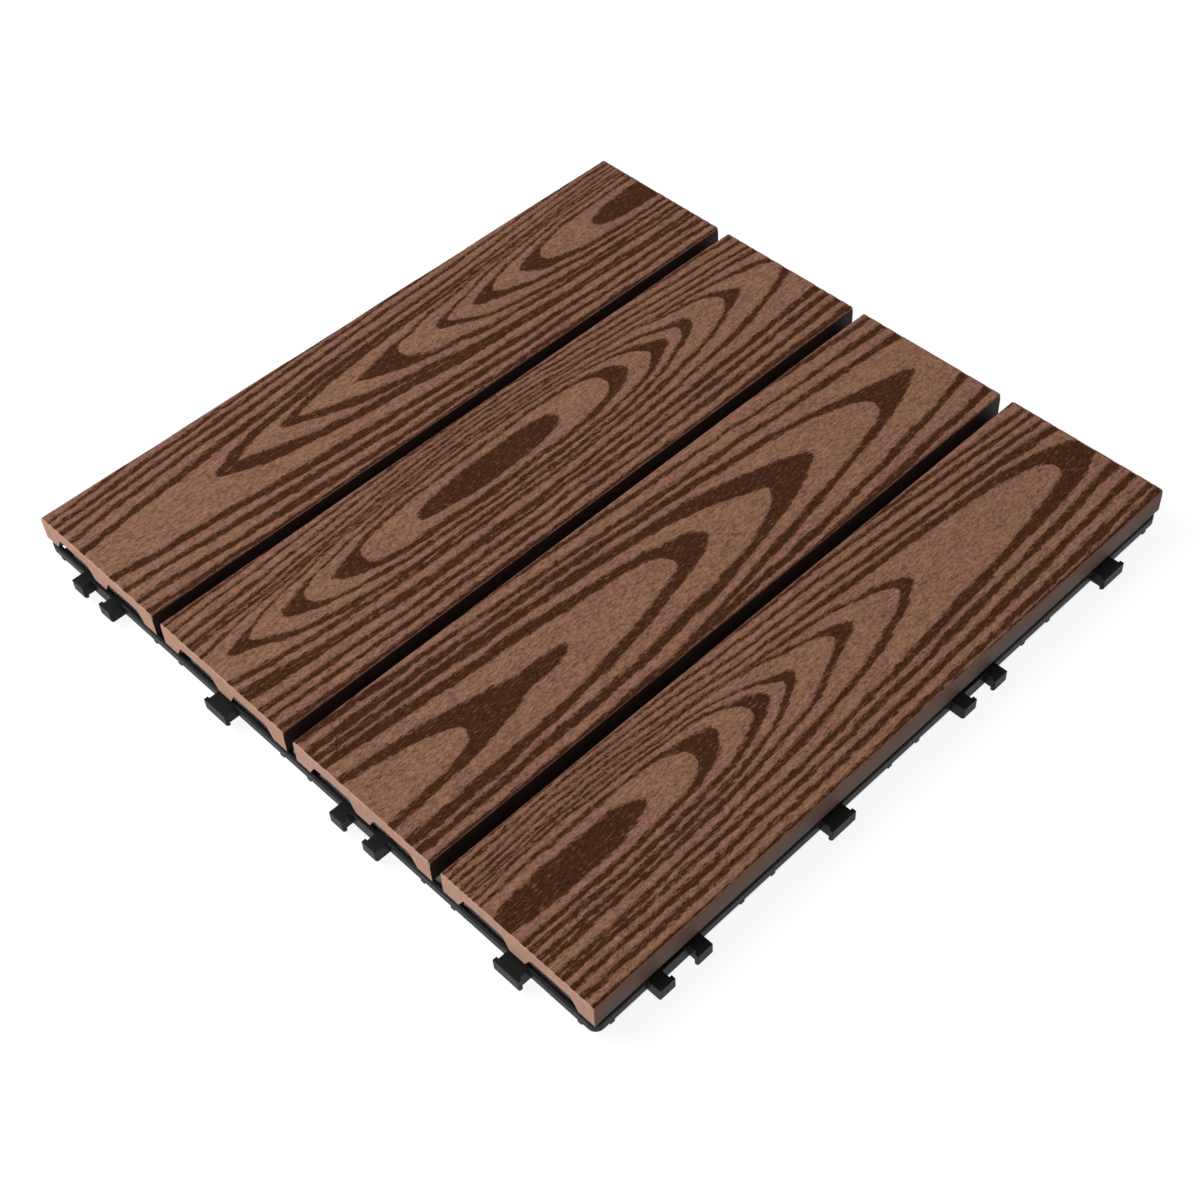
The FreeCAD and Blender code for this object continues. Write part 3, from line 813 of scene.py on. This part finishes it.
class TILE_OT_screws(bpy.types.Operator):
    """Makes the screws with their hexagonal heads and cross recesses"""
    bl_idname = "deck_tile.make_screws"
    bl_label = "Make screws"

    def execute(self, context):
        settings = context.scene.deck_screws
        shape = bmesh.new()
        for place in screw_places():
            add_screw(shape, place, settings)
        bmesh.ops.recalc_face_normals(shape, faces=shape.faces)
        mesh = bpy.data.meshes.new("screws_dressed")
        shape.to_mesh(mesh)
        shape.free()
        mesh.materials.append(plated_steel(settings))
        piece = bpy.data.objects.new("screws_dressed", mesh)
        context.scene.collection.objects.link(piece)
        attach(piece, BODY)
        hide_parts("screws")
        return {"FINISHED"}


# Stage

FLOOR_REACH = 4.0
FLOOR_DROP = 0.1 * MM
# The floor shows this bright by itself, and takes this share of the light for the soft shadow.
FLOOR_GLOW, SHADOW_SHARE = 0.9, 0.17
# Where the plain floor under the tile begins, in from the tips of the connectors.
UNDER_RIM, OUTSIDE_RIM, CUT_CORNER = 8.5 * MM, 7 * MM, 11 * MM


def seen_directly(recipe):
    """1 for what the camera sees straight, in a mirror or through glass, and 0 for light."""
    camera, mirror, glass = (recipe.add("ShaderNodeLightPath", output=name)
                             for name in ("Is Camera Ray", "Is Glossy Ray",
                                          "Is Transmission Ray"))
    return recipe.math("MINIMUM", camera + mirror + glass, 1)


def round_the_tile(recipe):
    """0 on the floor under the tile and 1 round it. The border cuts the tile's corners."""
    half_tile = (CAD_BOX[1][0] - CAD_BOX[0][0]) / 2
    across, along = recipe.from_middle(0), recipe.from_middle(1)
    furthest = recipe.math("MAXIMUM", recipe.math("MAXIMUM", across, along),
                           across + along - (half_tile - CUT_CORNER))
    return recipe.step(furthest, half_tile - UNDER_RIM, half_tile - OUTSIDE_RIM)


def pale_floor(settings):
    """A pale floor that shows white in the picture, with the tile's soft shadow by its foot."""
    recipe = new_recipe("stage_floor")
    colour = tuple(settings.floor)
    plain = recipe.add("ShaderNodeBsdfDiffuse", None, {"Color": (*colour, 1)})
    faint = recipe.add("ShaderNodeBsdfDiffuse", None,
                       {"Color": (*(value * SHADOW_SHARE for value in colour), 1)})
    glow = recipe.add("ShaderNodeEmission", None,
                      {"Color": (1, 1, 1, 1), "Strength": FLOOR_GLOW})
    shown = recipe.add("ShaderNodeAddShader", None, {0: faint, 1: glow})
    share = seen_directly(recipe) * round_the_tile(recipe)
    return recipe.end("ShaderNodeOutputMaterial", recipe.add(
        "ShaderNodeMixShader", None, {0: share, 1: plain, 2: shown}))


class TILE_OT_stage(bpy.types.Operator):
    """Makes the pale floor, the large soft lamp and the even sky"""
    bl_idname = "deck_tile.make_stage"
    bl_label = "Make stage"

    def execute(self, context):
        settings = context.scene.deck_stage
        shape = bmesh.new()
        bmesh.ops.create_grid(shape, x_segments=1, y_segments=1, size=FLOOR_REACH)
        bmesh.ops.translate(shape, verts=shape.verts, vec=(0, 0, -FLOOR_DROP))
        mesh = bpy.data.meshes.new("stage_floor")
        shape.to_mesh(mesh)
        shape.free()
        mesh.materials.append(pale_floor(settings))
        floor = bpy.data.objects.new("stage_floor", mesh)
        context.scene.collection.objects.link(floor)

        lamp = bpy.data.lights.new("key", "AREA")
        lamp.energy = settings.key_power
        lamp.shape = "RECTANGLE"
        lamp.size = lamp.size_y = settings.key_size
        key = bpy.data.objects.new("key", lamp)
        key.location = settings.key_place
        key.rotation_euler = (-key.location).to_track_quat("-Z", "Y").to_euler()
        context.scene.collection.objects.link(key)

        sky = Recipe(bpy.data.worlds.new("even sky"))
        shown = seen_directly(sky)
        strength = shown + (1 - shown) * settings.sky
        context.scene.world = sky.end("ShaderNodeOutputWorld", sky.add(
            "ShaderNodeBackground", None, {"Color": (1, 1, 1, 1), "Strength": strength}))
        context.scene.view_settings.view_transform = "Standard"
        return {"FINISHED"}


class TILE_OT_camera(bpy.types.Operator):
    """Puts the camera where the photograph was taken"""
    bl_idname = "deck_tile.place_camera"
    bl_label = "Place camera"

    def execute(self, context):
        settings = context.scene.deck_stage
        camera = bpy.data.cameras.new("photo")
        camera.sensor_width = 36
        camera.lens = settings.lens
        camera.shift_x, camera.shift_y = settings.shift
        camera.clip_start = 0.01
        holder = bpy.data.objects.new("photo", camera)
        holder.location = settings.place
        holder.rotation_euler = settings.turn
        context.scene.collection.objects.link(holder)
        context.scene.camera = holder
        return {"FINISHED"}


class TILE_PT_sidebar(bpy.types.Panel):
    """Settings and steps of the deck tile"""
    bl_idname = "TILE_PT_sidebar"
    bl_label = "Deck tile"
    bl_space_type = "VIEW_3D"
    bl_region_type = "UI"
    bl_category = "Deck tile"

    def draw(self, context):
        groups = (
            ("deck_slats", ("deck_tile.make_slats",)),
            ("deck_base", ("deck_tile.finish_base",)),
            ("deck_screws", ("deck_tile.make_screws",)),
            ("deck_stage", ("deck_tile.make_stage", "deck_tile.place_camera")),
        )
        for group_name, steps in groups:
            box = self.layout.box()
            group = getattr(context.scene, group_name)
            for name in group.__annotations__:
                box.prop(group, name)
            for step in steps:
                box.operator(step)


CLASSES = (SlatSettings, BaseSettings, ScrewSettings, StageSettings, TILE_OT_slats, TILE_OT_base,
           TILE_OT_screws, TILE_OT_stage, TILE_OT_camera, TILE_PT_sidebar)
GROUPS = {"deck_slats": SlatSettings, "deck_base": BaseSettings, "deck_screws": ScrewSettings,
          "deck_stage": StageSettings}


def register():
    for item in CLASSES:
        bpy.utils.register_class(item)
    for name, group in GROUPS.items():
        setattr(bpy.types.Scene, name, bpy.props.PointerProperty(type=group))


def unregister():
    for name in GROUPS:
        delattr(bpy.types.Scene, name)
    for item in reversed(CLASSES):
        bpy.utils.unregister_class(item)


def main():
    register()
    bpy.ops.deck_tile.make_slats()
    bpy.ops.deck_tile.finish_base()
    bpy.ops.deck_tile.make_screws()
    bpy.ops.deck_tile.make_stage()
    bpy.ops.deck_tile.place_camera()


if __name__ == "__main__":
    main()
